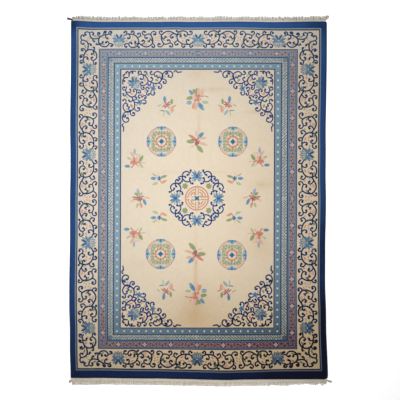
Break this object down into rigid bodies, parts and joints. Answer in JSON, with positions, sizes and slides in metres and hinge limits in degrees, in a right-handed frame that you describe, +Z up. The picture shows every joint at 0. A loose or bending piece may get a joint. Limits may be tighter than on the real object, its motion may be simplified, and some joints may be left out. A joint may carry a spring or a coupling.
{
  "type": "savonnerie rug",
  "caption": "Hand-knotted savonnerie rug lying flat: carved wool pile with scroll borders and flower sprays, wrapped side cords and a warp fringe at both ends.",
  "frame": {"origin": "middle of the whole rug's bounding box, on the floor plane", "axes": "+Y along the rug towards the end that is at the top of the picture, +X across it to the right, +Z up"},
  "size_m": [2.5852, 3.6294, 0.0154],
  "materials": {
    "wool_pile": "matte cut wool pile",
    "wool_cord": "matte wrapped wool",
    "cotton_warp": "matte cotton yarn"
  },
  "bodies": {
    "root": {"rug_pile": "wool_pile", "side_cord_left": "wool_cord", "side_cord_right": "wool_cord", "fringe_top": "cotton_warp", "fringe_bottom": "cotton_warp"}
  },
  "joints": []
}
